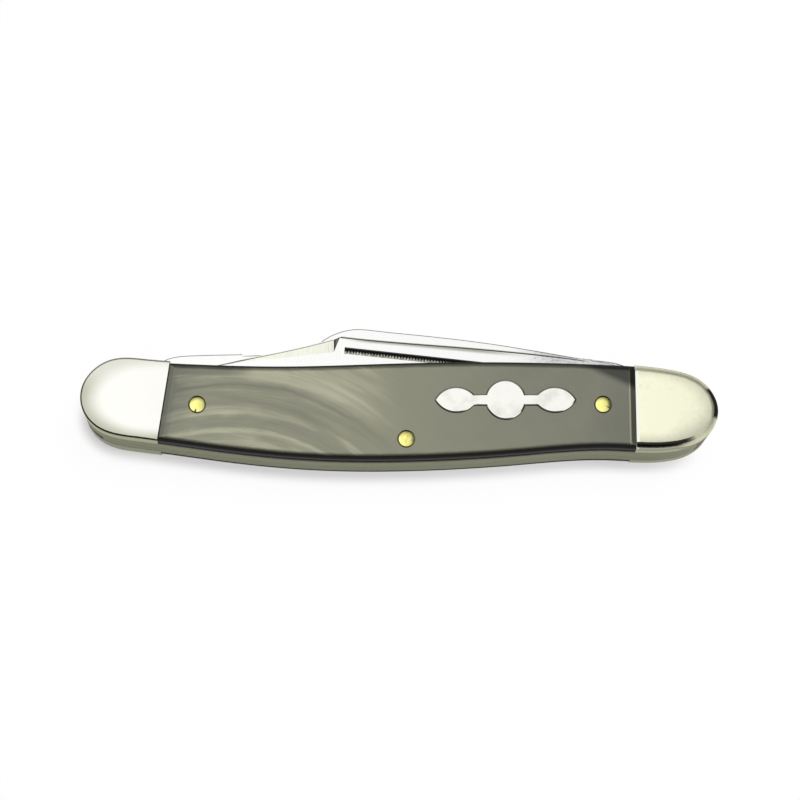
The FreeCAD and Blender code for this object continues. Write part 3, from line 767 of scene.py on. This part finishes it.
class KNIFE_OT_blades(bpy.types.Operator):
    """Finishes the three blades"""

    bl_idname = "knife.blades"
    bl_label = "Blades"

    def execute(self, context):
        sizes = context.scene.knife_sizes
        colours = context.scene.knife_colours
        clip = clip_steel(colours, sizes).material
        share = blade_corner(back=sizes.clip_edge, plunge=0.0, tang=sizes.tang_edge,
                             least=sizes.clip_edge / 3)
        dress("clip_blade", clip, sizes.clip_edge, share, crisp=7, plate=True)
        rear = blade_steel("rear_blade_steel", colours).material
        share = blade_corner(back=sizes.blade_edge, plunge=sizes.plunge_edge, tang=sizes.blade_edge,
                             least=sizes.blade_edge)
        for node in ("sheepsfoot_blade", "spey_blade"):
            dress(node, rear, sizes.plunge_edge, share, crisp=7, plate=True)
        return {"FINISHED"}


def plain_mesh(holder, name):
    """The mesh that an object's modifiers make."""
    bpy.context.view_layer.update()
    made = bpy.data.meshes.new_from_object(holder.evaluated_get(bpy.context.evaluated_depsgraph_get()))
    made.name = name
    return made


def tooth_row_tree(material):
    """Geometry nodes for a straight row of three-cornered teeth, and the identifiers of its inputs."""
    tree = bpy.data.node_groups.new("tooth_row", "GeometryNodeTree")
    kinds = {
        "Count": "NodeSocketInt",
        "Start": "NodeSocketVector",
        "Pitch": "NodeSocketVector",
        "Tooth turn": "NodeSocketRotation",
        "Tooth reach": "NodeSocketFloat",
        "Tooth height": "NodeSocketFloat",
    }
    sockets = {name: tree.interface.new_socket(name, in_out="INPUT", socket_type=kind).identifier
               for name, kind in kinds.items()}
    tree.interface.new_socket("Teeth", in_out="OUTPUT", socket_type="NodeSocketGeometry")

    def add(kind, settings, inputs):
        made = tree.nodes.new(kind)
        for name, value in settings.items():
            setattr(made, name, value)
        for key, value in inputs.items():
            if isinstance(value, bpy.types.NodeSocket):
                tree.links.new(value, made.inputs[key])
            else:
                made.inputs[key].default_value = value
        return made.outputs

    given = add("NodeGroupInput", {}, {})
    radius = add("ShaderNodeMath", {"operation": "MULTIPLY"}, {0: given["Tooth reach"], 1: 2 / 3})
    low = add("ShaderNodeMath", {"operation": "MULTIPLY"}, {0: given["Tooth height"], 1: -0.5})
    points = add("GeometryNodeMeshLine", {"mode": "OFFSET"},
                 {"Count": given["Count"], "Start Location": given["Start"], "Offset": given["Pitch"]})
    prism = add("GeometryNodeMeshCone", {},
                {"Vertices": 3, "Radius Top": radius[0], "Radius Bottom": radius[0],
                 "Depth": given["Tooth height"]})
    centre = add("ShaderNodeCombineXYZ", {}, {"Z": low[0]})
    tooth = add("GeometryNodeTransform", {}, {"Geometry": prism["Mesh"], "Translation": centre[0]})
    copies = add("GeometryNodeInstanceOnPoints", {},
                 {"Points": points["Mesh"], "Instance": tooth["Geometry"], "Rotation": given["Tooth turn"]})
    solid = add("GeometryNodeRealizeInstances", {}, {"Geometry": copies["Instances"]})
    finished = add("GeometryNodeSetMaterial", {}, {"Geometry": solid["Geometry"], "Material": material})
    add("NodeGroupOutput", {}, {"Teeth": finished["Geometry"]})
    return tree, sockets


class KNIFE_OT_pull_teeth(bpy.types.Operator):
    """Sets a row of fine teeth along the lower wall of the long nail pull"""

    bl_idname = "knife.pull_teeth"
    bl_label = "Teeth of the nail pull"

    def execute(self, context):
        sizes = context.scene.knife_sizes
        along = sizes.pull_end - sizes.pull_start
        across = Vector((along.y, -along.x, 0)).normalized()
        middle = sizes.tooth_drop + sizes.tooth_height / 2
        wall = across * (sizes.pull_width / 2 - sizes.tooth_reach / 3) - Vector((0, 0, middle))
        pitch = along / sizes.tooth_count
        tree, sockets = tooth_row_tree(tooth_steel(context.scene.knife_colours))
        holder = bpy.data.objects.new("clip_pull_teeth", bpy.data.meshes.new("tooth_row"))
        context.scene.collection.objects.link(holder)
        row = holder.modifiers.new("teeth", "NODES")
        row.node_group = tree
        values = {
            "Count": sizes.tooth_count,
            "Start": sizes.pull_start + wall + pitch / 2,
            "Pitch": pitch,
            "Tooth turn": Euler((0, 0, math.atan2(-across.y, -across.x))),
            "Tooth reach": sizes.tooth_reach,
            "Tooth height": sizes.tooth_height,
        }
        for name, value in values.items():
            row[sockets[name]] = value
        holder.data = plain_mesh(holder, "clip_pull_teeth")
        holder.modifiers.clear()
        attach(holder, "clip")
        return {"FINISHED"}


class KNIFE_OT_pins(bpy.types.Operator):
    """Finishes the brass pins' heads"""

    bl_idname = "knife.pins"
    bl_label = "Brass pins"

    def execute(self, context):
        splits = {
            "front_left_scale_pin": (-105, 0.55, 0.35),
            "front_right_scale_pin": (-30, 0.25, 0.10),
            "centre_pin": None,
            "back_left_scale_pin": (200, 0.40, 0.15),
            "back_right_scale_pin": (60, 0.50, 0.20),
        }
        for node, split in splits.items():
            low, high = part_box(node)
            middle = (low + high) / 2
            dress(node, pin_brass(context.scene.knife_colours, middle.x, middle.y, split))
        return {"FINISHED"}


class KNIFE_OT_shield(bpy.types.Operator):
    """Finishes the shield and the studs that hold it"""

    bl_idname = "knife.shield"
    bl_label = "Shield"

    def execute(self, context):
        metal = shield_nickel(context.scene.knife_colours)
        dress("shield", metal)
        dress("shield_pins", metal)
        return {"FINISHED"}


def camera_at(stage):
    """The camera, level with the knife's length."""
    lens = bpy.data.cameras.new("camera")
    lens.lens = stage.camera_lens
    lens.sensor_width = 36.0
    lens.clip_start = 0.01
    lens.clip_end = 20.0
    camera = bpy.data.objects.new("camera", lens)
    forward = (stage.camera_aim - stage.camera_place).normalized()
    right = (Vector((1, 0, 0)) - forward * forward.x).normalized()
    up = right.cross(forward)
    turn = Matrix((right, up, -forward)).transposed().to_4x4()
    camera.matrix_world = Matrix.Translation(stage.camera_place) @ turn
    return camera


def floor_lines(half, low, high, step):
    """Places of the floor's grid lines: close together from low to high, and one at each of its sides."""
    return [-half] + [low + step * i for i in range(math.ceil((high - low) / step) + 1)] + [half]


def floor_mesh(stage):
    """The floor. Its points hold the shadow's strength, from 0 to 1: it lies beside the knife's sides that
    face away from the light, and fades with the distance from them."""
    liner = frame["nodes"]["back_liner"].data
    sides = BVHTree.FromPolygons([vertex.co for vertex in liner.vertices],
                                 [face.vertices for face in liner.polygons if abs(face.normal.z) < 0.5])
    level = sum(corner.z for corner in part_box("back_liner")) / 2
    away = Vector((math.cos(stage.shadow_turn), math.sin(stage.shadow_turn), 0))
    margin = 2 * stage.shadow_reach
    low, high = CAD_BOX
    lines = [floor_lines(stage.floor_size / 2, low[axis] - margin, high[axis] + margin, stage.shadow_step)
             for axis in (0, 1)]
    points = [Vector((x, y, -stage.floor_drop)) for y in lines[1] for x in lines[0]]
    row = len(lines[0])
    faces = [(i, i + 1, i + row + 1, i + row) for i in range(len(points) - row) if i % row < row - 1]
    mesh = bpy.data.meshes.new("floor")
    mesh.from_pydata(points, [], faces)
    strengths = []
    for point in points:
        normal, _, gap = sides.find_nearest(point + Vector((0, 0, level)))[1:]
        near = max(0.0, 1.0 - gap / stage.shadow_reach)
        strengths.append(near * near * (3 - 2 * near) * max(0.0, normal.dot(away)))
    mesh.attributes.new("shadow", "FLOAT", "POINT").data.foreach_set("value", strengths)
    return mesh


def seen_directly(tree):
    """Two values: the first is 1 for rays from the camera alone, the second also for those that metal and
    glass send on."""
    path = tree.node("ShaderNodeLightPath", {}, {}).socket.node
    camera, glossy, clear = (Value(tree, path.outputs[name])
                             for name in ("Is Camera Ray", "Is Glossy Ray", "Is Transmission Ray"))
    return camera, camera.most(glossy).most(clear)


def floor_material(stage):
    """A pale floor that shows as white and keeps a soft shadow close to the knife. It is clear from below, so
    that the knife's back face can be seen."""
    material = bpy.data.materials.new("pale_floor")
    material.use_nodes = True
    tree = Tree(material.node_tree)
    cloth = tree.node("ShaderNodeBsdfDiffuse", {}, {"Color": opaque(stage.floor_colour)})
    glow = tree.node("ShaderNodeEmission", {}, {"Color": (1, 1, 1, 1), "Strength": 1.0})
    shadow = tree.node("ShaderNodeAttribute", {"attribute_name": "shadow"}, {}, "Fac")
    shown = seen_directly(tree)[1] * (stage.floor_glow - stage.shadow_depth * shadow)
    mixed = tree.node("ShaderNodeMixShader", {}, {0: shown, 1: cloth, 2: glow})
    below = tree.node("ShaderNodeNewGeometry", {}, {}, "Backfacing")
    clear = tree.node("ShaderNodeBsdfTransparent", {}, {})
    one_way = tree.node("ShaderNodeMixShader", {}, {0: below, 1: mixed, 2: clear})
    tree.end("ShaderNodeOutputMaterial", one_way)
    return material


def studio_world():
    """A soft white ceiling, a little brighter to the left, over a pale left wall and darker other walls."""
    world = bpy.data.worlds.new("studio")
    world.use_nodes = True
    tree = Tree(world.node_tree)
    x, y, z = tree.split(tree.node("ShaderNodeTexCoord", {}, {}, "Generated"))
    ceiling = z.step(0.62, 0.86) * x.step(0.66, 0.42)
    front = (0 - y).step(0.2, 0.5)
    back = y.step(0.25, 0.55)
    right = x.step(0.2, 0.5)
    card = ((x - y) * math.sqrt(0.5)).step(0.45, 0.6) * abs(x + y).step(0.5, 0.3)
    wall = 0.45 * (1.0 - 0.94 * front.most(right)) * (1.0 - 0.6 * back) + 1.1 * card
    level = wall * (1.0 - ceiling) + ceiling * (1.02 - 0.5 * x)
    camera = seen_directly(tree)[0]
    shown = camera + (1.0 - camera) * level
    light = tree.node("ShaderNodeBackground", {}, {"Color": (1, 1, 1, 1), "Strength": shown})
    tree.end("ShaderNodeOutputWorld", light)
    return world


class KNIFE_OT_stage(bpy.types.Operator):
    """Makes the floor, the light and the camera"""

    bl_idname = "knife.stage"
    bl_label = "Stage"

    def execute(self, context):
        scene = context.scene
        stage = scene.knife_stage
        scene.view_settings.view_transform = "Standard"
        mesh = floor_mesh(stage)
        mesh.materials.append(floor_material(stage))
        floor = bpy.data.objects.new("floor", mesh)
        scene.collection.objects.link(floor)
        scene.world = studio_world()
        lamp = bpy.data.lights.new("key", "AREA")
        lamp.energy = stage.key_power
        lamp.size = stage.key_size
        key = bpy.data.objects.new("key", lamp)
        key.location = stage.key_place
        key.rotation_euler = (-Vector(stage.key_place)).to_track_quat("-Z", "Y").to_euler()
        key.visible_glossy = False
        scene.collection.objects.link(key)
        scene.camera = camera_at(stage)
        scene.collection.objects.link(scene.camera)
        return {"FINISHED"}


class KNIFE_PT_panel(bpy.types.Panel):
    """The knife's pieces, sizes and colours"""

    bl_idname = "KNIFE_PT_panel"
    bl_label = "Pocket knife"
    bl_space_type = "VIEW_3D"
    bl_region_type = "UI"
    bl_category = "Knife"

    def draw(self, context):
        for operator in OPERATORS:
            self.layout.operator(operator.bl_idname)
        for group in (context.scene.knife_sizes, context.scene.knife_colours, context.scene.knife_stage):
            column = self.layout.column(align=True)
            for name in group.__annotations__:
                column.prop(group, name)


OPERATORS = (
    KNIFE_OT_bolsters,
    KNIFE_OT_scales,
    KNIFE_OT_liners_and_springs,
    KNIFE_OT_blades,
    KNIFE_OT_pull_teeth,
    KNIFE_OT_pins,
    KNIFE_OT_shield,
    KNIFE_OT_stage,
)
CLASSES = (KnifeSizes, KnifeColours, KnifeStage) + OPERATORS + (KNIFE_PT_panel,)


def register():
    for cls in CLASSES:
        bpy.utils.register_class(cls)
    bpy.types.Scene.knife_sizes = PointerProperty(type=KnifeSizes)
    bpy.types.Scene.knife_colours = PointerProperty(type=KnifeColours)
    bpy.types.Scene.knife_stage = PointerProperty(type=KnifeStage)


def unregister():
    del bpy.types.Scene.knife_stage
    del bpy.types.Scene.knife_colours
    del bpy.types.Scene.knife_sizes
    for cls in reversed(CLASSES):
        bpy.utils.unregister_class(cls)


def main():
    register()
    bpy.ops.knife.bolsters()
    bpy.ops.knife.scales()
    bpy.ops.knife.liners_and_springs()
    bpy.ops.knife.blades()
    bpy.ops.knife.pull_teeth()
    bpy.ops.knife.pins()
    bpy.ops.knife.shield()
    bpy.ops.knife.stage()


if __name__ == "__main__":
    main()
